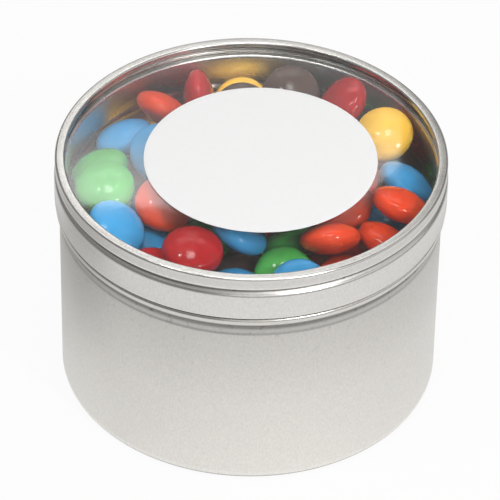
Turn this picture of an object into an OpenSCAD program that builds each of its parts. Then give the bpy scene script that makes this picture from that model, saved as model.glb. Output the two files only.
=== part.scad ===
// Round window-lid tin, filled with sugar-shelled chocolate buttons.
// A one-piece drawn tin body, a slip-over lid ring with a clear window trapped under its top flange,
// and a round blank label stuck on the window. Millimetres, +Z up, origin in the middle of the base.

/* [Tin body] */
// Outer diameter of the straight wall
body_d = 84; // [76:1:110]
// Height of the tin to the top of its rolled rim
body_h = 53.6; // [45:0.2:80]
// Thickness of the tinplate
tin_t = 0.3; // [0.2:0.05:0.35]
// Radius of the corner between wall and base
corner_r = 1.4; // [1:0.1:3]
// Width of the ring that the tin stands on
foot_w = 1.6; // [1:0.1:3]
// Height that the base panel is pressed up inside that ring
panel_rise = 1; // [0.5:0.1:2]
// How far the bead below the lid stands proud of the wall
bead_proud = 0.8; // [0.4:0.05:1.2]
// Height of the bead's upright band
bead_h = 1.2; // [0.8:0.1:2]
// Height of the hollow cove from the wall up to the bead
cove_h = 3.7; // [3:0.1:6]
// How far the cove is drawn in from the wall
cove_in = 0.15; // [0.05:0.05:0.3]
// Height in which the cove flares out to the bead
flare_h = 1.3; // [0.8:0.1:1.8]
// Height of the neck that the lid slides over, from the bead to the rim
neck_h = 7.4; // [5:0.1:10]
// How far the neck is set in from the wall
neck_in = 1.1; // [0.8:0.05:1.5]
// Outer radius of the rolled rim
curl_r = 0.75; // [0.6:0.05:0.85]

/* [Lid ring] */
// Clearance between the rolled rim and the lid's hem
lid_fit = 0.2; // [0.1:0.05:0.4]
// Clearance under the lid's shoulder, where it sits on the rolled rim
seat_gap = 0.06; // [0.04:0.01:0.2]
// Gap between the lid's hem and the bead
hem_gap = 0.4; // [0.2:0.05:1]
// Outer radius of the hem rolled inside the skirt's edge
hem_r = 0.35; // [0.35:0.01:0.45]
// How far the band above the groove is set in from the skirt
band_set = 0.2; // [0:0.05:0.4]
// Depth of the groove from the band
groove_depth = 0.7; // [0.4:0.05:0.8]
// Height of the groove's flat bottom
groove_h = 0.5; // [0.3:0.05:1]
// Fall of the shoulder from the groove out to the skirt
shoulder_drop = 0.75; // [0.5:0.05:1]
// Height of the band from the groove to the top
band_h = 3.15; // [2.85:0.05:5]
// Width of the flat rim round the window
flange_w = 2.2; // [1.8:0.1:4]
// Depth of the lip turned down at the window's edge
lip_h = 1.2; // [0.8:0.05:1.4]

/* [Window and label] */
// Thickness of the clear window
window_t = 0.5; // [0.3:0.05:0.6]
// Clearance round the window where the ring traps it
window_gap = 0.06; // [0.04:0.01:0.2]
// Diameter of the round label
label_d = 51; // [20:1:60]
// Thickness of the label
label_t = 0.12; // [0.1:0.02:0.3]
// How far the label is stuck to the right of the middle
label_x = 2; // [-6:0.5:6]

/* [Candies] */
// Diameter of a candy
candy_d = 13.4; // [11:0.2:16]
// Thickness of a candy
candy_t = 7.1; // [6:0.1:9]
// Radius of a candy's round edge
candy_edge = 2.2; // [1.6:0.05:2.6]
// Clearance kept round every candy
candy_gap = 0.2; // [0.1:0.02:0.3]
// Space left between the tops of the hidden candies and the window
head_gap = 4; // [1:0.5:8]
// Number that sets how the hidden candies fall
mix_seed = 91; // [1:1:99]

/* [Hidden] */
COLOURS = ["red", "orange", "yellow", "green", "blue", "brown"];
round_fn = 96;
candy_fn = 48;

// Middle of the sheet in the body's wall, bead, neck and rolled rim
body_r = body_d / 2;
wall_mid = body_r - tin_t / 2;
bead_mid = wall_mid + bead_proud;
neck_mid = wall_mid - neck_in;
curl_mid = curl_r - tin_t / 2;
neck_inner = neck_mid - tin_t / 2;
bead_top = body_h - neck_h;
curl_centre = [neck_mid + curl_mid, body_h - curl_r];
bead_low = bead_top - bead_h;
crease_z = bead_low - cove_h;
crease_h = 0.5;

// Radii of the sheet's middle at its bends
crease_bend = 0.3;
cove_bend = 1.2;
bead_bend = 0.6;
neck_bend = 0.45;
lip_bend = 0.3;
rim_bend = 0.35;
band_bend = 0.45;
groove_bend = 0.2;
shoulder_bend = 0.7;

// The lid's skirt clears the rolled rim, and its shoulder sits on it
hem_mid = hem_r - tin_t / 2;
skirt_mid = curl_centre.x + curl_r + lid_fit + tin_t / 2 + 2 * hem_mid;
hem_bottom = bead_top + hem_gap;
band_mid = skirt_mid - band_set;
groove_mid = band_mid - groove_depth;
shoulder_run = skirt_mid - groove_mid;
shoulder_up = [shoulder_drop, shoulder_run] / norm([shoulder_drop, shoulder_run]);
seat_reach = curl_r + seat_gap + tin_t / 2;
seat_level = shoulder_up * curl_centre + seat_reach;
groove_low = (seat_level - shoulder_up.x * groove_mid) / shoulder_up.y;
groove_rise = 0.45;
groove_top = groove_low + groove_h + groove_rise;
lid_top = groove_low + groove_h + band_h + tin_t / 2;
opening_r = band_mid + tin_t / 2 - flange_w;

// The window lies under the lip, and its turned-down edge stands on the groove's inner ridge
window_top = lid_top - lip_h - window_gap;
window_r = band_mid - tin_t / 2 - window_gap;
window_under = window_top - window_t;
window_foot = groove_top + tin_t / 2 + window_gap;

// A rounded corner of a path: the points of an arc of radius r that touches the legs b-a and b-c
function leg(a, b) = (b - a) / norm(b - a);
function turned(v, angle) = [v.x * cos(angle) - v.y * sin(angle), v.x * sin(angle) + v.y * cos(angle)];
function corner(a, b, c, r) =
    r == 0 ? [b] :
    let (
        u = leg(b, a),
        v = leg(b, c),
        half = acos(u * v) / 2,
        centre = b + (u + v) / norm(u + v) * r / sin(half),
        start = b + u * r / tan(half) - centre,
        sweep = (180 - 2 * half) * sign(cross(start, b + v * r / tan(half) - centre)),
        steps = max(2, ceil(abs(sweep) / 15))
    )
    [for (i = [0:steps]) centre + turned(start, sweep * i / steps)];

// A path through corners given as [radius from the axis, height, corner radius]
function flat(p) = [p[0], p[1]];
function path_of(corners) = [
    for (i = [0:len(corners) - 1])
        each i == 0 || i == len(corners) - 1
            ? [flat(corners[i])]
            : corner(flat(corners[i - 1]), flat(corners[i]), flat(corners[i + 1]), corners[i][2])
];

// Points of a roll round a centre, from one angle to another. A roll that carries a straight leg on
// starts one step of its arc past the leg's end.
roll_step = 15;
function roll(centre, r, from, to, steps) = [
    for (i = [0:steps])
        let (angle = from + (to - from) * i / steps)
        centre + r * [cos(angle), sin(angle)]
];

// A path moved sideways, to its left where the distance is positive
function left_of(a, b) = let (d = leg(a, b)) [-d.y, d.x];
function beside(path, distance) = [
    for (i = [0:len(path) - 1])
        let (
            before = left_of(path[max(i - 1, 0)], path[max(i, 1)]),
            after = left_of(path[min(i, len(path) - 2)], path[min(i + 1, len(path) - 1)])
        )
        path[i] + (before + after) / (1 + before * after) * distance
];
function backwards(list) = [for (i = [len(list) - 1:-1:0]) list[i]];

// A sheet of one thickness, turned round the axis
module turned_sheet(path, thickness) {
    rotate_extrude($fn = round_fn)
        polygon(concat(beside(path, thickness / 2), backwards(beside(path, -thickness / 2))));
}

module tin_body() {
    base_z = tin_t / 2;
    foot_r = wall_mid - corner_r - foot_w;
    path = concat(
        path_of([
            [0, base_z + panel_rise, 0],
            [foot_r - panel_rise, base_z + panel_rise, panel_rise / 2],
            [foot_r, base_z, panel_rise / 2],
            [wall_mid, base_z, corner_r],
            [wall_mid, crease_z, crease_bend],
            [wall_mid - cove_in, crease_z + crease_h, crease_bend],
            [wall_mid - cove_in, bead_low - flare_h, cove_bend],
            [bead_mid, bead_low, bead_bend],
            [bead_mid, bead_top - tin_t / 2, neck_bend],
            [neck_mid, bead_top - tin_t / 2, neck_bend],
            [neck_mid, curl_centre.y, 0]
        ]),
        roll(curl_centre, curl_mid, 180 - roll_step, roll_step - 120, 18)
    );
    color("#c9c6c1") turned_sheet(path, tin_t);
}

module lid_ring() {
    hem_centre = [skirt_mid - hem_mid, hem_bottom + hem_r];
    hem_fold = 0.6;
    path = concat(
        path_of([
            [opening_r + tin_t / 2, lid_top - lip_h, 0],
            [opening_r + tin_t / 2, lid_top - tin_t / 2, lip_bend],
            [band_mid, lid_top - tin_t / 2, rim_bend],
            [band_mid, groove_top, band_bend],
            [groove_mid, groove_low + groove_h, groove_bend],
            [groove_mid, groove_low, groove_bend],
            [skirt_mid, groove_low - shoulder_drop, shoulder_bend],
            [skirt_mid, hem_centre.y, 0]
        ]),
        roll(hem_centre, hem_mid, -roll_step, roll_step - 180, 10),
        [[skirt_mid - 2 * hem_mid, hem_centre.y], [skirt_mid - 2 * hem_mid, hem_centre.y + hem_fold]]
    );
    color("#d2cfca") turned_sheet(path, tin_t);
}

module window_disc() {
    edge_mid = window_r - window_t / 2;
    path = path_of([
        [0, window_top - window_t / 2, 0],
        [edge_mid, window_top - window_t / 2, window_t * 0.8],
        [edge_mid, window_foot, 0]
    ]);
    color([0.9, 0.93, 0.95, 0.3]) turned_sheet(path, window_t);
}

module window_label() {
    color("white")
        translate([label_x, 0, window_top])
            cylinder(d = label_d, h = label_t, $fn = round_fn);
}

// A candy is [centre, axis, tilt, heading, colour]. Tilt leans its axis from upright, and heading
// is the direction that it leans to.
candy_a = candy_d / 2;
candy_c = candy_t / 2;
space_a = candy_a + candy_gap / 2;
space_c = candy_c + candy_gap / 2;
squash = space_c * space_c - space_a * space_a;
floor_z = tin_t + panel_rise;
function axis_of(tilt, heading) = [sin(tilt) * cos(heading), sin(tilt) * sin(heading), cos(tilt)];
function reach(axis, direction) = sqrt(space_a * space_a + squash * pow(axis * direction, 2));

// Two candies as one form: for a share of each candy's own shape, the rows of the blended shape. The
// spacing of two candies is the largest over the shares, 1 where their ellipsoids touch.
SHARES = [0.34, 0.42, 0.5, 0.58, 0.66];
touching = 0.001;
function blend(axis_1, axis_2, share) = [
    for (i = [0:2]) [
        for (j = [0:2])
            (i == j ? space_a * space_a : 0)
                + squash * (share * axis_1[i] * axis_1[j] + (1 - share) * axis_2[i] * axis_2[j])
    ]
];
function inverse(rows) =
    [cross(rows[1], rows[2]), cross(rows[2], rows[0]), cross(rows[0], rows[1])]
        / (rows[0] * cross(rows[1], rows[2]));
function spacing(c, other) =
    let (step = c[0] - other[0])
    norm(step) > 2 * space_a
        ? norm(step)
        : sqrt(max([
            for (share = SHARES)
                share * (1 - share) * (step * (inverse(blend(c[1], other[1], share)) * step))
        ]));
function apart(c, other) = spacing(c, other) >= 1 - touching;

// The stretch of heights that one candy bars to another one over or under it: between the roots of
// a quadratic for each share, and no stretch where a share has no root
function barred(c, other) =
    let (
        dx = c[0].x - other[0].x,
        dy = c[0].y - other[0].y,
        roots = [for (share = SHARES)
            let (
                m = inverse(blend(c[1], other[1], share)),
                lean = m.z.x * dx + m.z.y * dy,
                rest = m.x.x * dx * dx + 2 * m.x.y * dx * dy + m.y.y * dy * dy - 1 / (share * (1 - share)),
                inside = lean * lean - m.z.z * rest
            )
            inside < 0 ? [0, 0] : [(-sqrt(inside) - lean) / m.z.z, (sqrt(inside) - lean) / m.z.z]
        ]
    )
    [other[0].z + max([for (r = roots) r[0]]), other[0].z + min([for (r = roots) r[1]])];

// Where a candidate [gap, bearing, depth, tilt, heading, colour] lies. Its gap is what is left
// between it and the neck, and its depth is what is left between its middle and the window.
function placed(c) =
    let (
        axis = axis_of(c[3], c[4]),
        outwards = [cos(c[1]), sin(c[1]), 0],
        r = max(0, neck_inner - candy_gap - reach(axis, outwards) - c[0])
    )
    [r * outwards + [0, 0, window_under - c[2]], axis, c[3], c[4], c[5]];

// Keeps a candy within the neck and under the window
function held(place, c) =
    let (
        across = [place.x, place.y, 0],
        outwards = across / max(norm(across), touching),
        r = min(norm(across), neck_inner - candy_gap - reach(c[1], outwards)),
        z = min(place.z, window_under - candy_gap - reach(c[1], [0, 0, 1]))
    )
    [r * outwards + [0, 0, z], c[1], c[2], c[3], c[4]];

// The pushes that a candy gets from those of a list that it overlaps, along the line of the middles
function pushes(c, list, share) = [
    for (other = list)
        let (s = spacing(c, other))
        if (s > 0 && s < 1) share * (1 / s - 1) * (c[0] - other[0])
];

// Candies pushed apart in rounds: each from the others by half the overlap, and from the heap by all of it
shown_rounds = 30;
heap_rounds = 8;
function eased(list, heap, rounds) =
    let (all = [for (c = list) concat(pushes(c, list, 1 / 2), pushes(c, heap, 1))])
    rounds == 0 || len([for (p = all) each p]) == 0
        ? list
        : eased([
            for (i = [0:len(list) - 1])
                len(all[i]) == 0
                    ? list[i]
                    : held(list[i][0] + [for (p = all[i]) 1] * all[i], list[i])
        ], heap, rounds - 1);

// Lets a candidate down from its place until it rests on the floor or on a candy of the heap. Where
// its place is taken, it starts from the nearest free height.
function free_above(z, stretches) =
    let (taken = [for (s = stretches) if (s[0] < z && z < s[1]) s[1]])
    len(taken) == 0 ? z : free_above(max(taken), stretches);
function free_below(z, stretches) =
    let (taken = [for (s = stretches) if (s[0] < z && z < s[1]) s[0]])
    len(taken) == 0 ? z : free_below(min(taken), stretches);
function lowered(c, heap) =
    let (
        near = [
            for (other = heap)
                if (norm([c[0].x - other[0].x, c[0].y - other[0].y]) < 2 * space_a)
                    barred(c, other)
        ],
        stretches = [for (s = near) if (s[0] < s[1]) s],
        above = free_above(c[0].z, stretches),
        below = free_below(c[0].z, stretches),
        start = above - c[0].z < c[0].z - below ? above : below,
        floor_stop = floor_z + reach(c[1], [0, 0, 1]),
        stops = [floor_stop, for (s = stretches) if (s[1] <= start) s[1]]
    )
    [[c[0].x, c[0].y, max(stops)], c[1], c[2], c[3], c[4]];

// Drops candidates one by one, and keeps each that ends under the ceiling and clear of what is kept free
function poured(list, heap, ceiling, keep_clear, i = 0) =
    i == len(list) ? heap :
    let (
        c = lowered(eased([list[i]], heap, heap_rounds)[0], heap),
        fits = c[0].z + reach(c[1], [0, 0, 1]) <= ceiling,
        clear = fits && len([for (other = keep_clear) if (!apart(c, other)) 1]) == 0
    )
    poured(list, clear ? concat(heap, [c]) : heap, ceiling, keep_clear, i + 1);

// The hidden candies lie in rings from the wall inwards, one ring inside the other, layer on layer
layer_rise = candy_t * 0.9;
layers = ceil(window_under / layer_rise);
ring_step = candy_d + candy_gap;
max_tilt = 32;
function ring_count(gap) =
    gap > neck_inner - space_a - candy_d / 3
        ? 1
        : floor(2 * PI * (neck_inner - candy_gap - space_a - gap) / ring_step);
function ring_of(layer, gap) =
    let (
        count = ring_count(gap),
        random = rands(0, 1, 3 * count, mix_seed + 17 * layer + floor(gap))
    )
    [for (i = [0:count - 1]) placed([
        gap,
        (i + layer / 2) * 360 / count,
        -window_under,
        max_tilt * random[3 * i],
        360 * random[3 * i + 1],
        floor(len(COLOURS) * random[3 * i + 2])
    ])];
function rings_of(layer, first_gap) =
    [for (gap = [first_gap:ring_step:neck_inner - candy_a]) each ring_of(layer, gap)];
bed = [for (layer = [0:layers]) each rings_of(layer, 0)];

// The candies that show, lowest first, each as [gap, bearing, depth, tilt, heading, colour]
SHOWN = [
    [0, 21, 11, 75, 20, 3],
    [6, -14, 13.5, 20, 165, 4],
    [4.5, -39, 13.5, 10, -155, 0],
    [6, -145, 13, 0, 0, 4],
    [18.5, -130, 12, 0, 0, 3],
    [0, 93, 10.5, 35, -90, 2],
    [7.5, -68, 10.5, 40, -90, 3],
    [0, -53, 10.5, 0, 0, 1],
    [0, -71, 9.5, 40, -90, 4],
    [0, 43, 9.5, 75, -45, 1],
    [0, -126, 9, 10, -5, 0],
    [2, -92, 8.5, 5, -10, 4],
    [0, 147, 8, 25, 145, 4],
    [0, 170, 8, 20, 165, 3],
    [10.5, 15, 8, 20, -90, 1],
    [17.5, -53, 7.5, 40, 115, 3],
    [0, 8, 7, 35, 25, 4],
    [0, -30, 7, 35, 35, 1],
    [12.5, -15, 7, 25, -130, 1],
    [0, 111, 7, 85, 5, 0],
    [0, 72, 6.5, 35, -90, 5],
    [14.5, -93, 6.5, 35, 30, 4],
    [8, 95, 6.5, 35, -90, 5],
    [0, 55, 6, 45, -165, 0],
    [1.5, 128, 6, 45, 50, 1],
    [8, 62, 6, 35, -90, 4],
    [13, -155, 5.5, 25, -70, 1],
    [6, -49, 5.5, 40, 100, 1],
    [11, 154, 5, 35, -90, 4],
    [0, -14, 5, 30, 45, 1],
    [0, -149, 5, 30, -20, 4],
    [0, 27, 4.5, 25, -115, 2],
    [1.5, -171, 4.5, 15, -110, 3],
    [4, -112, 4, 10, -65, 0]
];
shown = eased([for (c = SHOWN) placed(c)], [], shown_rounds);

// Candies that prop up the shown ones: dropped in the same places three times over, each time leaning
// more and another way, and then in rings between the rings
prop_tilt = 4;
prop_turn = 60;
props = concat(
    [
        for (turn = [1:3], c = SHOWN)
            let (colour = (c[5] + turn) % len(COLOURS))
            placed([c[0], c[1], -window_under, turn * prop_tilt, turn * prop_turn, colour])
    ],
    [for (layer = [0:2]) each rings_of(layer, ring_step / 2)]
);

// The heap is the hidden candies, poured clear of the shown ones, and then the shown ones let down on them
deep = poured(concat(bed, props), [], window_under - head_gap, shown);
pile = poured(shown, deep, window_under - window_gap, []);

// A candy's section is an oval of true arcs: a crown over and under, and a round edge that meets them
module candy() {
    crown = (candy_a * candy_a + candy_c * candy_c - 2 * candy_a * candy_edge)
        / (2 * (candy_c - candy_edge));
    meet_r = crown * (candy_a - candy_edge) / (crown - candy_edge);
    rotate_extrude($fn = candy_fn)
        intersection() {
            union() {
                translate([candy_a - candy_edge, 0]) circle(r = candy_edge, $fn = round_fn);
                intersection() {
                    translate([0, candy_c - crown]) circle(r = crown, $fn = 2 * round_fn);
                    translate([0, crown - candy_c]) circle(r = crown, $fn = 2 * round_fn);
                    translate([0, -candy_c]) square([meet_r, candy_t]);
                }
            }
            translate([0, -candy_c]) square([candy_a, candy_t]);
        }
}

SHELLS = ["#c01a1c", "#ee4a1e", "#f8c83c", "#3fa34a", "#2f8fd0", "#5d4638"];
module candies(name, top) {
    colour = search([name], COLOURS)[0];
    color(SHELLS[colour])
        for (i = [0:len(pile) - 1])
            if (pile[i][4] == colour && (i >= len(deep)) == top)
                translate(pile[i][0]) rotate([0, pile[i][2], pile[i][3]]) candy();
}

tin_body();
lid_ring();
window_disc();
window_label();
candies("red", true);  // red_candies_top
candies("orange", true);  // orange_candies_top
candies("yellow", true);  // yellow_candies_top
candies("green", true);  // green_candies_top
candies("blue", true);  // blue_candies_top
candies("brown", true);  // brown_candies_top
candies("red", false);  // red_candies_deep
candies("orange", false);  // orange_candies_deep
candies("yellow", false);  // yellow_candies_deep
candies("green", false);  // green_candies_deep
candies("blue", false);  // blue_candies_deep
candies("brown", false);  // brown_candies_deep
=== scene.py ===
"""Looks of a round window-lid tin filled with sugar-shelled chocolate buttons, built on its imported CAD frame."""

import math

import bpy
import numpy as np
from mathutils import Matrix, Quaternion, Vector


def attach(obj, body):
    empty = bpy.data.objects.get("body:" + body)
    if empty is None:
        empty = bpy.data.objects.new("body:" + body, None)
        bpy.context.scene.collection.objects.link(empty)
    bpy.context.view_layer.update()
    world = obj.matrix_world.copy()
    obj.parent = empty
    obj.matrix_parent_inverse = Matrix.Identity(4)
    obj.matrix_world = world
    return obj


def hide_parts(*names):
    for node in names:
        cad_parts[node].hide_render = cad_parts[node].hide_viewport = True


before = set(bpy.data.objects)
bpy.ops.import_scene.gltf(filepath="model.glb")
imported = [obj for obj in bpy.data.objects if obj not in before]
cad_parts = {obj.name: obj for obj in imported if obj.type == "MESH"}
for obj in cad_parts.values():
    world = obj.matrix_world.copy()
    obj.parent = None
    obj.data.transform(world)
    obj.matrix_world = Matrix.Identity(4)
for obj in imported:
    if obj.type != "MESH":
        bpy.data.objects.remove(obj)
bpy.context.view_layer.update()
MM = 0.001

# Tin body.
# Drawn from one disc of tinplate: base panel pressed up inside the ring that it stands on, straight
# wall, cove and bead under the lid, neck, and a rim rolled outwards. Satin surface with a mill grain,
# and painted shade along the edge it stands on, in the cove under the bead and on the neck under the lid.


ARC_STEP, FULL_BEND = 7.5, 35


def rounded(corners, fade=0.7):
    """Path through corners [r, z, bend radius]: each corner becomes an arc that touches both legs, and
    a long leg has a point near each end. Returns the points, and how far each is bent: 0 on a leg and
    up to 1 on an arc, more where it sets out to turn further, and negative where it turns right."""
    points, bent = [corners[0][:2]], [0.0]
    for before, here, after in zip(corners, corners[1:], corners[2:]):
        a, b, c = (np.array(p[:2], float) for p in (before, here, after))
        u, v = (a - b) / np.linalg.norm(a - b), (c - b) / np.linalg.norm(c - b)
        half = math.acos(np.clip(u @ v, -1, 1)) / 2
        centre = b + (u + v) / np.linalg.norm(u + v) * here[2] / math.sin(half)
        start, end = b + u * here[2] / math.tan(half) - centre, b + v * here[2] / math.tan(half) - centre
        sweep = math.atan2(start[0] * end[1] - start[1] * end[0], start @ end)
        last = np.array(points[-1])
        if np.linalg.norm(centre + start - last) > 2 * fade:
            points += [list(last - u * fade), list(centre + start + u * fade)]
            bent += [0.0, 0.0]
        for t in np.linspace(0, sweep, max(3, math.ceil(abs(math.degrees(sweep)) / ARC_STEP))):
            points.append(list(centre + [start[0] * math.cos(t) - start[1] * math.sin(t),
                                         start[0] * math.sin(t) + start[1] * math.cos(t)]))
            bent.append(float(np.clip(sweep / math.radians(FULL_BEND), -1, 1)))
    points.append(corners[-1][:2])
    bent.append(0.0)
    return np.array(points, float), np.array(bent)


def arc(centre, radius, start, end, count):
    """Points on a circle round centre, from one angle to another in degrees."""
    t = np.radians(np.linspace(start, end, count))
    return np.stack([centre[0] + radius * np.cos(t), centre[1] + radius * np.sin(t)], 1)


def sheet_section(path, bent, thickness):
    """Both sides of a sheet whose middle follows the path: each point moved sideways by half the
    thickness along the mean normal of its two legs, the left side forwards and the right side back.
    A bend is 1 at most on the side where it stands out, which is worn, and -1 where it is hollow, which gets painted
    shade."""
    legs = np.diff(path, axis=0)
    legs /= np.linalg.norm(legs, axis=1)[:, None]
    normals = np.stack([-legs[:, 1], legs[:, 0]], 1)
    first, last = np.vstack([normals[:1], normals]), np.vstack([normals, normals[-1:]])
    side = (first + last) / (1 + np.sum(first * last, axis=1))[:, None] * thickness / 2
    return np.vstack([path + side, (path - side)[::-1]]), np.concatenate([-bent, bent[::-1]])


def revolved(name, section, wear_and_shade, segments=256, sharp=35):
    """Mesh of a closed section [r, z] in mm turned round the Z axis: point i at angle t lies at
    (r cos t, r sin t, z). Points on the axis become one pole each. Each point's value of wear and painted
    shade is kept as a point attribute."""
    pole = section[:, 0] < 1e-6
    t = np.linspace(0, 2 * math.pi, segments, endpoint=False)
    first, verts, point_wear_and_shade = [], [], []
    for (r, z), p, s in zip(section, pole, wear_and_shade):
        first.append(len(verts))
        ring = [(0.0, 0.0, z)] if p else np.stack([r * np.cos(t), r * np.sin(t), np.full(segments, z)], 1).tolist()
        verts += ring
        point_wear_and_shade += [s] * len(ring)
    faces = []
    k, n = np.arange(segments), (np.arange(segments) + 1) % segments
    for i in range(len(section)):
        j = (i + 1) % len(section)
        a, b = first[i], first[j]
        if pole[i] and pole[j]:
            continue
        if pole[i]:
            faces += np.stack([np.full(segments, a), b + k, b + n], 1).tolist()
        elif pole[j]:
            faces += np.stack([a + n, a + k, np.full(segments, b)], 1).tolist()
        else:
            faces += np.stack([a + n, a + k, b + k, b + n], 1).tolist()
    mesh = bpy.data.meshes.new(name)
    mesh.from_pydata((np.array(verts) * MM).tolist(), [], faces)
    mesh.attributes.new("wear_and_shade", "FLOAT", "POINT").data.foreach_set("value", np.array(point_wear_and_shade, np.float32))
    mesh.shade_smooth()
    mesh.set_sharp_from_angle(angle=math.radians(sharp))
    piece = bpy.data.objects.new(name, mesh)
    bpy.context.scene.collection.objects.link(piece)
    return piece


def value_group(name, inputs, outputs):
    """Empty node group with the given sockets, for effects that several materials share."""
    group = bpy.data.node_groups.new(name, "ShaderNodeTree")
    for socket, kind, default in inputs:
        made = group.interface.new_socket(socket, in_out="INPUT", socket_type=kind)
        made.default_value = default
    for socket, kind in outputs:
        group.interface.new_socket(socket, in_out="OUTPUT", socket_type=kind)
    return group, group.nodes.new("NodeGroupInput"), group.nodes.new("NodeGroupOutput")


# Mill grain of tinplate: a fine grain drawn out a little up the sheet, cloudy patches, rubbed bends that
# are smoother, and painted shade that darkens the colour in hollows and shaded bands, with specks of grime there
tinplate, grain_in, grain_and_shade_out = value_group(
    "tinplate_grain_and_shade",
    [("Base", "NodeSocketColor", (0.75, 0.73, 0.7, 1)), ("Streak", "NodeSocketFloat", 900)],
    [("Color", "NodeSocketColor"), ("Roughness", "NodeSocketFloat"), ("Height", "NodeSocketFloat")])
nodes, links = tinplate.nodes, tinplate.links


def ranged(source, low, high, to_low, to_high):
    """Map Range node from a source socket: low becomes to_low and high becomes to_high."""
    node = nodes.new("ShaderNodeMapRange")
    node.inputs["From Min"].default_value = low
    node.inputs["From Max"].default_value = high
    node.inputs["To Min"].default_value = to_low
    node.inputs["To Max"].default_value = to_high
    links.new(source, node.inputs["Value"])
    return node.outputs["Result"]


def joined(operation, first, second):
    """Math node of two sources, each a socket or a number."""
    node = nodes.new("ShaderNodeMath")
    node.operation = operation
    for socket, source in zip(node.inputs, (first, second)):
        if isinstance(source, (int, float)):
            socket.default_value = source
        else:
            links.new(source, socket)
    return node.outputs[0]


place = nodes.new("ShaderNodeTexCoord")
stretch = nodes.new("ShaderNodeVectorMath")
stretch.operation = "MULTIPLY"
stretch.inputs[1].default_value = (1, 1, 0.5)
links.new(place.outputs["Object"], stretch.inputs[0])
streaks = nodes.new("ShaderNodeTexNoise")
streaks.inputs["Detail"].default_value = 3
streaks.inputs["Roughness"].default_value = 0.65
links.new(stretch.outputs[0], streaks.inputs["Vector"])
links.new(grain_in.outputs["Streak"], streaks.inputs["Scale"])
clouds = nodes.new("ShaderNodeTexNoise")
clouds.inputs["Scale"].default_value = 70
clouds.inputs["Detail"].default_value = 2
links.new(place.outputs["Object"], clouds.inputs["Vector"])
grime = nodes.new("ShaderNodeTexNoise")
grime.inputs["Scale"].default_value = 900
grime.inputs["Detail"].default_value = 2
links.new(place.outputs["Object"], grime.inputs["Vector"])
wear_and_shade_in = nodes.new("ShaderNodeAttribute")
wear_and_shade_in.attribute_name = "wear_and_shade"
rubbed = ranged(wear_and_shade_in.outputs["Fac"], 0, 1, 0, 1)
shade_amount = ranged(wear_and_shade_in.outputs["Fac"], -1, -0.15, 1, 0)
grain_tone = ranged(streaks.outputs["Fac"], 0.25, 0.75, 0.9, 1.07)
cloud_tone = ranged(clouds.outputs["Fac"], 0.3, 0.7, 0.975, 1.02)
# Painted shade: where the point value is below zero, in hollows and the body's shaded bands, the colour is darkened
painted_shade_tone = joined("SUBTRACT", 1, joined("MULTIPLY", shade_amount, 0.65))
speck = ranged(grime.outputs["Fac"], 0.62, 0.72, 0, 0.6)
clean = joined("SUBTRACT", 1, joined("MULTIPLY", shade_amount, speck))
tone = joined("MULTIPLY", joined("MULTIPLY", grain_tone, cloud_tone), joined("MULTIPLY", painted_shade_tone, clean))
shade = nodes.new("ShaderNodeVectorMath")
shade.operation = "SCALE"
links.new(grain_in.outputs["Base"], shade.inputs[0])
links.new(tone, shade.inputs["Scale"])
links.new(shade.outputs[0], grain_and_shade_out.inputs["Color"])
rough = ranged(clouds.outputs["Fac"], 0.3, 0.7, 0.38, 0.46)
links.new(joined("SUBTRACT", rough, joined("MULTIPLY", rubbed, 0.18)), grain_and_shade_out.inputs["Roughness"])
links.new(streaks.outputs["Fac"], grain_and_shade_out.inputs["Height"])


def tin_material(name, base, streak, bump):
    """Metal whose colour, roughness and height come from the mill grain, its colour also darkened by painted shade
    where the point value is below zero.
    """
    material = bpy.data.materials.new(name)
    material.use_nodes = True
    nodes, links = material.node_tree.nodes, material.node_tree.links
    surface = nodes["Principled BSDF"]
    surface.inputs["Metallic"].default_value = 1
    grain = nodes.new("ShaderNodeGroup")
    grain.node_tree = tinplate
    grain.inputs["Base"].default_value = (*base, 1)
    grain.inputs["Streak"].default_value = streak
    lift = nodes.new("ShaderNodeBump")
    lift.inputs["Strength"].default_value = bump
    lift.inputs["Distance"].default_value = 0.00004
    links.new(grain.outputs["Color"], surface.inputs["Base Color"])
    links.new(grain.outputs["Roughness"], surface.inputs["Roughness"])
    links.new(grain.outputs["Height"], lift.inputs["Height"])
    links.new(lift.outputs["Normal"], surface.inputs["Normal"])
    return material


TIN_T = 0.3
body_path, body_bent = rounded([
    [0, 1.15, 0], [37.85, 1.15, 0.5], [38.85, 0.15, 0.5], [41.85, 0.15, 1.4],
    [41.85, 41.3, 0.3], [41.7, 41.8, 0.3], [41.7, 43.7, 1.2], [42.65, 45.0, 0.6],
    [42.65, 46.05, 0.45], [40.75, 46.05, 0.45], [40.75, 52.85, 0]])
rim_roll = arc([41.35, 52.85], 0.6, 172.5, -105, 38)
body_path = np.vstack([body_path, rim_roll])
# The whole roll counts as bent: wear on its outside and painted shade on its hollow inside
body_bent = np.concatenate([body_bent, np.full(len(rim_roll), -1.0)])
body_section, body_wear_and_shade = sheet_section(body_path, body_bent, TIN_T)
# Painted shade on the body's outside: a dark line along the edge it stands on, shade fading in at the top of the wall
# and deepest in the cove under the bead, a dark line where the lid's edge meets the bead, and lighter shade up the
# neck under the lid
body_painted_shade = np.interp(body_section[:, 1], [0.7, 1.2, 2, 40.5, 41.8, 43.2, 44.5, 45.2, 46.1, 46.2, 47, 53],
                   [-1, 0, 0, -0.3, -0.3, -0.6, -0.6, 0, 0, -1, -0.35, -0.25])
outside = np.arange(len(body_section)) >= len(body_path)
body_wear_and_shade = np.where(outside, np.minimum(body_wear_and_shade, body_painted_shade + (body_painted_shade == 0)), body_wear_and_shade)
tin = revolved("tin", body_section, body_wear_and_shade)
tin.data.materials.append(tin_material("tinplate_body", (0.755, 0.733, 0.695), 2600, 0.3))
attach(tin, "tin")
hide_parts("tin_body")

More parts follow.
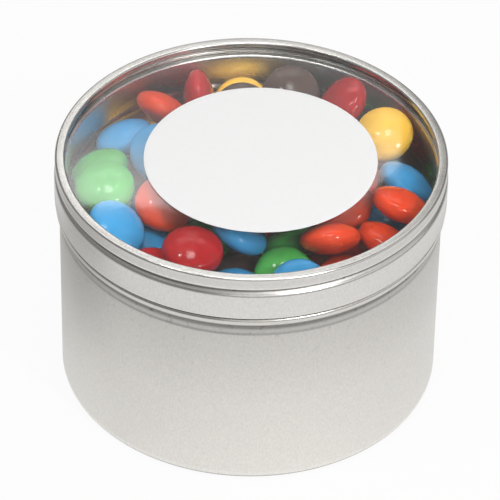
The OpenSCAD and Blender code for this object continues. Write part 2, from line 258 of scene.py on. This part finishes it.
# Lid ring.
# Pressed from tinplate in one piece: lip turned down at the opening, flat rim, band, groove,
# shoulder that sits on the tin's rolled rim, and a skirt with its edge hemmed inwards.
lid_path, lid_bent = rounded([
    [40.75, 56.2, 0], [40.75, 57.25, 0.3], [42.65, 57.25, 0.35], [42.65, 54.55, 0.45], [41.95, 54.1, 0.2],
    [41.95, 53.6, 0.2], [42.85, 52.85, 0.7], [42.85, 46.95, 0]])
hem = np.vstack([arc([42.65, 46.95], 0.2, -12, -168, 14), [[42.45, 46.95], [42.45, 47.55]]])
lid_path = np.vstack([lid_path, hem])
# The whole hem counts as bent: wear on its outside and painted shade on its hollow inside
lid_bent = np.concatenate([lid_bent, np.full(len(hem), -1.0)])
lid = revolved("lid", *sheet_section(lid_path, lid_bent, TIN_T))
lid.data.materials.append(tin_material("tinplate_lid", (0.79, 0.772, 0.74), 2600, 0.2))
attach(lid, "lid")
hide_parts("lid_ring")

# Window.
# Clear plastic sheet, formed with a turned-down edge that the lid ring traps. Its face is almost
# mirror smooth, with a trace of haze.
window_path, window_bent = rounded([[0, 55.89, 0], [42.19, 55.89, 0.4], [42.19, 54.76, 0]])
window = revolved("window", *sheet_section(window_path, window_bent, 0.5), segments=192)
clear = bpy.data.materials.new("clear_window")
clear.use_nodes = True
nodes, links = clear.node_tree.nodes, clear.node_tree.links
surface = nodes["Principled BSDF"]
surface.inputs["Base Color"].default_value = (0.985, 0.99, 0.99, 1)
surface.inputs["Roughness"].default_value = 0.03
surface.inputs["IOR"].default_value = 1.5
surface.inputs["Transmission Weight"].default_value = 1
haze = nodes.new("ShaderNodeTexNoise")
haze.inputs["Scale"].default_value = 60
coordinates = nodes.new("ShaderNodeTexCoord")
links.new(coordinates.outputs["Object"], haze.inputs["Vector"])
soften = nodes.new("ShaderNodeMapRange")
soften.inputs["To Min"].default_value = 0.02
soften.inputs["To Max"].default_value = 0.06
links.new(haze.outputs["Fac"], soften.inputs["Value"])
links.new(soften.outputs["Result"], surface.inputs["Roughness"])
rays = nodes.new("ShaderNodeLightPath")
through = nodes.new("ShaderNodeBsdfTransparent")
through.inputs["Color"].default_value = (0.92, 0.92, 0.92, 1)
choose = nodes.new("ShaderNodeMixShader")
links.new(rays.outputs["Is Shadow Ray"], choose.inputs["Fac"])
links.new(surface.outputs["BSDF"], choose.inputs[1])
links.new(through.outputs["BSDF"], choose.inputs[2])
links.new(choose.outputs["Shader"], nodes["Material Output"].inputs["Surface"])
window.data.materials.append(clear)
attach(window, "lid")
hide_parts("window_disc")

# Label.
# Round white paper label, bare of print, stuck on the window a little right of its middle.
LABEL_R, LABEL_X, LABEL_LOW, LABEL_T = 25.5, 2.0, 56.14, 0.12
section = np.vstack([[[0, LABEL_LOW]], [[LABEL_R, LABEL_LOW]], arc([LABEL_R - 0.05, LABEL_LOW + LABEL_T - 0.05], 0.05, 0, 90, 5),
                     [[LABEL_R - 1, LABEL_LOW + LABEL_T]], [[0, LABEL_LOW + LABEL_T]]])
label = revolved("label", section, np.zeros(len(section)), segments=192)
label.data.transform(Matrix.Translation((LABEL_X * MM, 0, 0)))
paper = bpy.data.materials.new("label_paper")
paper.use_nodes = True
nodes, links = paper.node_tree.nodes, paper.node_tree.links
surface = nodes["Principled BSDF"]
fibre = nodes.new("ShaderNodeTexNoise")
fibre.inputs["Scale"].default_value = 1500
fibre.inputs["Detail"].default_value = 3
coordinates = nodes.new("ShaderNodeTexCoord")
links.new(coordinates.outputs["Object"], fibre.inputs["Vector"])
whites = nodes.new("ShaderNodeValToRGB")
whites.color_ramp.elements[0].color = (0.93, 0.93, 0.93, 1)
whites.color_ramp.elements[1].color = (0.98, 0.98, 0.98, 1)
links.new(fibre.outputs["Fac"], whites.inputs["Fac"])
links.new(whites.outputs["Color"], surface.inputs["Base Color"])
surface.inputs["Roughness"].default_value = 0.55
lift = nodes.new("ShaderNodeBump")
lift.inputs["Strength"].default_value = 0.15
lift.inputs["Distance"].default_value = 0.00003
links.new(fibre.outputs["Fac"], lift.inputs["Height"])
links.new(lift.outputs["Normal"], surface.inputs["Normal"])
label.data.materials.append(paper)
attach(label, "lid")
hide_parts("window_label")

# Candies.
# Pressed chocolate buttons with a polished sugar shell: an oval of a flat crown over and under and a
# rounder edge. They lie where the frame has them, each a little uneven, as panned shells are.
CANDY_R, CANDY_HALF, CANDY_EDGE = 6.7, 3.55, 2.2


def parts_of(node):
    """Middle and axis of each loose candy of a CAD node: vertices at one place are joined, the lowest
    number spreads over the edges until it stops, and each part's flattest direction is its axis."""
    mesh = node.data
    co = np.empty(3 * len(mesh.vertices))
    mesh.vertices.foreach_get("co", co)
    co = co.reshape(-1, 3)
    same = np.unique(np.round(co / 2e-7).astype(np.int64), axis=0, return_inverse=True)[1].ravel()
    edges = np.empty(2 * len(mesh.edges), int)
    mesh.edges.foreach_get("vertices", edges)
    edges = same[edges].reshape(-1, 2)
    mark = np.arange(same.max() + 1)
    while True:
        low = np.minimum(mark[edges[:, 0]], mark[edges[:, 1]])
        spread = mark.copy()
        np.minimum.at(spread, edges[:, 0], low)
        np.minimum.at(spread, edges[:, 1], low)
        spread = spread[spread]
        if (spread == mark).all():
            break
        mark = spread
    mesh.calc_loop_triangles()
    corners = np.empty(3 * len(mesh.loop_triangles), int)
    mesh.loop_triangles.foreach_get("vertices", corners)
    corners = corners.reshape(-1, 3)
    part = mark[same[corners[:, 0]]]
    found = []
    for number in np.unique(part):
        a, b, c = (co[corners[part == number][:, i]] for i in range(3))
        volume = np.einsum("ij,ij->i", a, np.cross(b, c))
        middle = ((a + b + c) / 4 * volume[:, None]).sum(0) / volume.sum()
        spots = (a + b + c) / 3 - middle
        area = np.linalg.norm(np.cross(b - a, c - a), axis=1)
        found.append((middle, np.linalg.eigh((spots * area[:, None]).T @ spots)[1][:, 0]))
    return found


def candy_section(rows):
    """Half section of a candy from pole to pole, radius and height in mm: the crown's arc out to where
    it touches the edge's arc, round the edge, and back under."""
    crown = (CANDY_R ** 2 + CANDY_HALF ** 2 - 2 * CANDY_R * CANDY_EDGE) / (2 * (CANDY_HALF - CANDY_EDGE))
    meet = math.asin((CANDY_R - CANDY_EDGE) / (crown - CANDY_EDGE))
    over = np.linspace(0, meet, rows)
    edge = np.linspace(meet, math.pi / 2, rows)[1:]
    r = np.concatenate([crown * np.sin(over), CANDY_R - CANDY_EDGE + CANDY_EDGE * np.sin(edge)])
    z = np.concatenate([CANDY_HALF - crown + crown * np.cos(over), CANDY_EDGE * np.cos(edge)])
    return np.concatenate([r, r[-2::-1]]), np.concatenate([z, -z[-2::-1]])


def candies(name, places, rows, segments, uneven, seed):
    """Mesh of one colour's candies. Each is its half section turned round its own axis, with its radius
    and height scaled by 1 + a few low waves of the angle, smaller than the gap to its neighbours."""
    random = np.random.default_rng(seed)
    r, z = candy_section(rows)
    t = np.linspace(0, 2 * math.pi, segments, endpoint=False)
    count = len(r)
    verts, tints, faces = [], [], []
    k, n = np.arange(segments), (np.arange(segments) + 1) % segments
    top = [(0, 1 + b, 1 + a) for a, b in zip(k, n)]
    rings = [(1 + i * segments + a, 1 + i * segments + b, 1 + (i + 1) * segments + b, 1 + (i + 1) * segments + a)
             for i in range(count - 3) for a, b in zip(k, n)]
    last = 1 + (count - 2) * segments
    end = [(last, last - segments + a, last - segments + b) for a, b in zip(k, n)]
    quads = [tuple(int(v) for v in f) for f in top + [(q[3], q[2], q[1], q[0])[::-1] for q in rings] + end]
    for middle, axis in places:
        side = np.cross(axis, [0.0, 0.0, 1.0] if abs(axis[2]) < 0.9 else [1.0, 0.0, 0.0])
        side /= np.linalg.norm(side)
        front = np.cross(axis, side)
        waves = sum(uneven * random.uniform(-1, 1) * np.cos(m * t + random.uniform(0, 6.3)) / m for m in (2, 3))
        shrink = 1 - uneven
        ring = (r[1:-1, None] * (shrink + waves)[None, :])
        dome = z[1:-1, None] * (shrink + uneven * random.uniform(-1, 0.5)) * np.ones(segments)[None, :]
        points = (ring[..., None] * (np.cos(t)[None, :, None] * side + np.sin(t)[None, :, None] * front)
                  + dome[..., None] * axis).reshape(-1, 3)
        points = np.vstack([[axis * z[0] * shrink], points, [axis * z[-1] * shrink]]) * MM + middle
        start = len(verts)
        verts += points.tolist()
        tints += [random.uniform(0, 1)] * len(points)
        faces += [tuple(start + v for v in f) for f in quads]
    mesh = bpy.data.meshes.new(name)
    mesh.from_pydata(verts, [], faces)
    mesh.attributes.new("tint", "FLOAT", "POINT").data.foreach_set("value", np.array(tints, np.float32))
    mesh.shade_smooth()
    piece = bpy.data.objects.new(name, mesh)
    bpy.context.scene.collection.objects.link(piece)
    return piece


# Sugar shell: colour that varies from candy to candy, thin patches and specks, and an orange-peel polish
shell, shell_in, shell_out = value_group(
    "sugar_shell",
    [("Base", "NodeSocketColor", (0.5, 0.1, 0.1, 1)), ("Pale", "NodeSocketColor", (0.8, 0.5, 0.5, 1))],
    [("Color", "NodeSocketColor"), ("Roughness", "NodeSocketFloat"), ("Height", "NodeSocketFloat")])
nodes, links = shell.nodes, shell.links
place = nodes.new("ShaderNodeTexCoord")
patches = nodes.new("ShaderNodeTexNoise")
patches.inputs["Scale"].default_value = 260
patches.inputs["Detail"].default_value = 3
specks = nodes.new("ShaderNodeTexNoise")
specks.inputs["Scale"].default_value = 2400
specks.inputs["Detail"].default_value = 2
peel = nodes.new("ShaderNodeTexNoise")
peel.inputs["Scale"].default_value = 420
peel.inputs["Detail"].default_value = 1
for texture in (patches, specks, peel):
    links.new(place.outputs["Object"], texture.inputs["Vector"])
own = nodes.new("ShaderNodeAttribute")
own.attribute_name = "tint"
thin = nodes.new("ShaderNodeMapRange")
thin.inputs["From Min"].default_value = 0.52
thin.inputs["From Max"].default_value = 0.8
thin.inputs["To Max"].default_value = 0.16
links.new(patches.outputs["Fac"], thin.inputs["Value"])
dots = nodes.new("ShaderNodeMapRange")
dots.inputs["From Min"].default_value = 0.66
dots.inputs["From Max"].default_value = 0.78
dots.inputs["To Max"].default_value = 0.14
links.new(specks.outputs["Fac"], dots.inputs["Value"])
both = nodes.new("ShaderNodeMath")
both.operation = "ADD"
links.new(thin.outputs["Result"], both.inputs[0])
links.new(dots.outputs["Result"], both.inputs[1])
colour = nodes.new("ShaderNodeMix")
colour.data_type = "RGBA"
links.new(both.outputs[0], colour.inputs["Factor"])
links.new(shell_in.outputs["Base"], colour.inputs["A"])
links.new(shell_in.outputs["Pale"], colour.inputs["B"])
depth = nodes.new("ShaderNodeMapRange")
depth.inputs["To Min"].default_value = 0.88
depth.inputs["To Max"].default_value = 1.1
links.new(own.outputs["Fac"], depth.inputs["Value"])
toned = nodes.new("ShaderNodeVectorMath")
toned.operation = "SCALE"
links.new(colour.outputs["Result"], toned.inputs[0])
links.new(depth.outputs["Result"], toned.inputs["Scale"])
links.new(toned.outputs[0], shell_out.inputs["Color"])
gloss = nodes.new("ShaderNodeMapRange")
gloss.inputs["From Min"].default_value = 0.3
gloss.inputs["From Max"].default_value = 0.7
gloss.inputs["To Min"].default_value = 0.09
gloss.inputs["To Max"].default_value = 0.15
links.new(patches.outputs["Fac"], gloss.inputs["Value"])
links.new(gloss.outputs["Result"], shell_out.inputs["Roughness"])
links.new(peel.outputs["Fac"], shell_out.inputs["Height"])

SHELL_COLOURS = {
    "red": ((0.37, 0.006, 0.008), (0.62, 0.08, 0.08)),
    "orange": ((0.62, 0.042, 0.005), (0.88, 0.18, 0.07)),
    "yellow": ((0.85, 0.49, 0.045), (0.96, 0.72, 0.22)),
    "green": ((0.06, 0.35, 0.062), (0.24, 0.55, 0.23)),
    "blue": ((0.035, 0.27, 0.54), (0.2, 0.48, 0.75)),
    "brown": ((0.075, 0.045, 0.035), (0.2, 0.14, 0.11)),
}
for number, (colour_name, (base, pale)) in enumerate(SHELL_COLOURS.items()):
    coat = bpy.data.materials.new(colour_name + "_shell")
    coat.use_nodes = True
    nodes, links = coat.node_tree.nodes, coat.node_tree.links
    surface = nodes["Principled BSDF"]
    surface.inputs["Specular IOR Level"].default_value = 0.35
    surface.inputs["Coat Weight"].default_value = 0.1
    surface.inputs["Coat Roughness"].default_value = 0.08
    sugar = nodes.new("ShaderNodeGroup")
    sugar.node_tree = shell
    sugar.inputs["Base"].default_value = (*base, 1)
    sugar.inputs["Pale"].default_value = (*pale, 1)
    lift = nodes.new("ShaderNodeBump")
    lift.inputs["Strength"].default_value = 0.25
    lift.inputs["Distance"].default_value = 0.00012
    links.new(sugar.outputs["Color"], surface.inputs["Base Color"])
    links.new(sugar.outputs["Roughness"], surface.inputs["Roughness"])
    links.new(sugar.outputs["Height"], lift.inputs["Height"])
    links.new(lift.outputs["Normal"], surface.inputs["Normal"])
    for layer, rows, segments, uneven in (("top", 11, 48, 0.012), ("deep", 4, 18, 0.0)):
        cad = colour_name + "_candies_" + layer
        piece = candies(colour_name + "_" + layer, parts_of(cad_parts[cad]), rows, segments, uneven, 7 + number)
        piece.data.materials.append(coat)
        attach(piece, "tin")
        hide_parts(cad)

# Stage.
# White floor, plain white to the camera, whose reflection shows a painted pool of light at the tin's front and a
# painted shaded patch at the left; soft boxes over and beside the tin, and the white card whose reflection hazes
# the back of the window.
floor_mesh = bpy.data.meshes.new("floor")
floor_mesh.from_pydata([(-3, -3, -0.0001), (3, -3, -0.0001), (3, 3, -0.0001), (-3, 3, -0.0001)], [], [(0, 1, 2, 3)])
floor = bpy.data.objects.new("floor", floor_mesh)
bpy.context.scene.collection.objects.link(floor)
# Painted pool of light on the floor, seen only in reflections: strongest at a spot at the tin's front, falling to a
# lower level 20 cm away
PAINTED_POOL_NEAR, PAINTED_POOL_FAR = 1.17, 0.5
white = bpy.data.materials.new("floor_white")
white.use_nodes = True
nodes, links = white.node_tree.nodes, white.node_tree.links
nodes["Principled BSDF"].inputs["Base Color"].default_value = (0.8, 0.8, 0.8, 1)
nodes["Principled BSDF"].inputs["Roughness"].default_value = 0.9
rays = nodes.new("ShaderNodeLightPath")
coordinates = nodes.new("ShaderNodeTexCoord")
from_painted_pool = nodes.new("ShaderNodeVectorMath")
from_painted_pool.operation = "DISTANCE"
from_painted_pool.inputs[1].default_value = (0.01, -0.035, 0)
links.new(coordinates.outputs["Object"], from_painted_pool.inputs[0])
painted_pool = nodes.new("ShaderNodeMapRange")
painted_pool.inputs["From Min"].default_value = 0.0
painted_pool.inputs["From Max"].default_value = 0.2
painted_pool.inputs["To Min"].default_value = PAINTED_POOL_NEAR
painted_pool.inputs["To Max"].default_value = PAINTED_POOL_FAR
links.new(from_painted_pool.outputs["Value"], painted_pool.inputs["Value"])
# Painted shade: a dim patch on the floor at the left of the tin, seen only in reflections
from_painted_shade = nodes.new("ShaderNodeVectorMath")
from_painted_shade.operation = "DISTANCE"
from_painted_shade.inputs[1].default_value = (-0.105, 0.005, 0)
links.new(coordinates.outputs["Object"], from_painted_shade.inputs[0])
painted_flag_shade = nodes.new("ShaderNodeMapRange")
painted_flag_shade.interpolation_type = "SMOOTHSTEP"
painted_flag_shade.inputs["From Min"].default_value = 0.015
painted_flag_shade.inputs["From Max"].default_value = 0.06
painted_flag_shade.inputs["To Min"].default_value = 0.65
links.new(from_painted_shade.outputs["Value"], painted_flag_shade.inputs["Value"])
painted_floor_light = nodes.new("ShaderNodeMath")
painted_floor_light.operation = "MULTIPLY"
links.new(painted_pool.outputs["Result"], painted_floor_light.inputs[0])
links.new(painted_flag_shade.outputs["Result"], painted_floor_light.inputs[1])
strength = nodes.new("ShaderNodeMix")
strength.inputs["B"].default_value = 1
links.new(rays.outputs["Is Camera Ray"], strength.inputs["Factor"])
links.new(painted_floor_light.outputs[0], strength.inputs["A"])
glow = nodes.new("ShaderNodeEmission")
links.new(strength.outputs["Result"], glow.inputs["Strength"])
seen = nodes.new("ShaderNodeMath")
seen.operation = "MAXIMUM"
links.new(rays.outputs["Is Camera Ray"], seen.inputs[0])
links.new(rays.outputs["Is Glossy Ray"], seen.inputs[1])
share = nodes.new("ShaderNodeMath")
share.operation = "MULTIPLY"
share.inputs[1].default_value = 0.94
links.new(seen.outputs[0], share.inputs[0])
choose = nodes.new("ShaderNodeMixShader")
links.new(share.outputs[0], choose.inputs["Fac"])
links.new(nodes["Principled BSDF"].outputs["BSDF"], choose.inputs[1])
links.new(glow.outputs["Emission"], choose.inputs[2])
links.new(choose.outputs["Shader"], nodes["Material Output"].inputs["Surface"])
floor_mesh.materials.append(white)


def soft_box(name, place, target, width, height, power):
    """Rectangular lamp at a place in metres, turned to face a target."""
    lamp = bpy.data.lights.new(name, "AREA")
    lamp.shape = "RECTANGLE"
    lamp.size, lamp.size_y = width, height
    lamp.energy = power
    light = bpy.data.objects.new(name, lamp)
    bpy.context.scene.collection.objects.link(light)
    light.location = place
    light.rotation_euler = (Vector(target) - Vector(place)).to_track_quat("-Z", "Y").to_euler()
    return light


soft_box("top_box", (0, -0.12, 0.7), (0, 0, 0.05), 0.2, 0.2, 1.05)
soft_box("back_box", (-0.02, 0.36, 0.6), (0, 0, 0.05), 0.6, 0.24, 0.62)
soft_box("key_box", (0.3, -0.42, 0.5), (0, 0, 0.05), 0.05, 0.06, 1.4)
soft_box("left_box", (-0.25, -0.1, 0.62), (0, 0, 0.05), 0.05, 0.05, 0.35)


def white_card(name, corners, low, high):
    """Upright white card that the camera doesn't see and that throws no shadow. Its glow runs from one strength
    at the height of the window's far edge in the mirror to another 3 cm higher up."""
    mesh = bpy.data.meshes.new(name)
    mesh.from_pydata(corners, [], [range(len(corners))])
    card = bpy.data.objects.new(name, mesh)
    bpy.context.scene.collection.objects.link(card)
    material = bpy.data.materials.new(name + "_white")
    material.use_nodes = True
    nodes, links = material.node_tree.nodes, material.node_tree.links
    nodes.remove(nodes["Principled BSDF"])
    place = nodes.new("ShaderNodeTexCoord")
    parts = nodes.new("ShaderNodeSeparateXYZ")
    links.new(place.outputs["Object"], parts.inputs[0])
    climb = nodes.new("ShaderNodeMapRange")
    climb.inputs["From Min"].default_value = 0.275
    climb.inputs["From Max"].default_value = 0.305
    climb.inputs["To Min"].default_value = low
    climb.inputs["To Max"].default_value = high
    links.new(parts.outputs["Z"], climb.inputs["Value"])
    glow = nodes.new("ShaderNodeEmission")
    links.new(climb.outputs["Result"], glow.inputs["Strength"])
    links.new(glow.outputs["Emission"], nodes["Material Output"].inputs["Surface"])
    mesh.materials.append(material)
    card.visible_camera = False
    card.visible_shadow = False


white_card("back_card", [(-0.085, 0.3, 0.2), (0.047, 0.3, 0.2), (0.047, 0.3, 0.293), (0.03, 0.3, 0.311), (-0.085, 0.3, 0.311)],
           0.7, 3.4)
white_card("front_card", [(0.5, -0.45, 0.12), (-0.1, -0.45, 0.12), (-0.1, -0.45, 0.62), (0.5, -0.45, 0.62)], 0.8, 0.8)
white_card("right_card", [(0.5, 0.15, 0.12), (0.5, -0.45, 0.12), (0.5, -0.45, 0.5), (0.5, 0.15, 0.5)], 0.7, 0.7)

world = bpy.data.worlds.new("studio")
bpy.context.scene.world = world
world.use_nodes = True
nodes, links = world.node_tree.nodes, world.node_tree.links
sky = nodes["Background"]
sky.inputs["Color"].default_value = (1, 0.99, 0.975, 1)
rays = nodes.new("ShaderNodeLightPath")
level = nodes.new("ShaderNodeMapRange")
level.inputs["To Min"].default_value = 0.22
level.inputs["To Max"].default_value = 1.0
links.new(rays.outputs["Is Camera Ray"], level.inputs["Value"])
links.new(level.outputs["Result"], sky.inputs["Strength"])

# Camera.
# Long lens, 39.5 degrees down on the tin's front, a touch off level.
camera = bpy.data.objects.new("camera", bpy.data.cameras.new("camera"))
bpy.context.scene.collection.objects.link(camera)
DOWN = math.radians(39.5)
camera.location = (0, -0.86 * math.cos(DOWN), 0.0284 + 0.86 * math.sin(DOWN))
aim = Vector((0, math.cos(DOWN), -math.sin(DOWN))).to_track_quat("-Z", "Y")
camera.rotation_mode = "QUATERNION"
camera.rotation_quaternion = aim @ Quaternion((0, 0, 1), math.radians(1.04))
camera.data.lens = 278.6
camera.data.sensor_width = 36
camera.data.shift_x, camera.data.shift_y = 0.0006, 0.0134
camera.data.clip_start, camera.data.clip_end = 0.01, 20
bpy.context.scene.camera = camera
bpy.context.scene.view_settings.view_transform = "Standard"
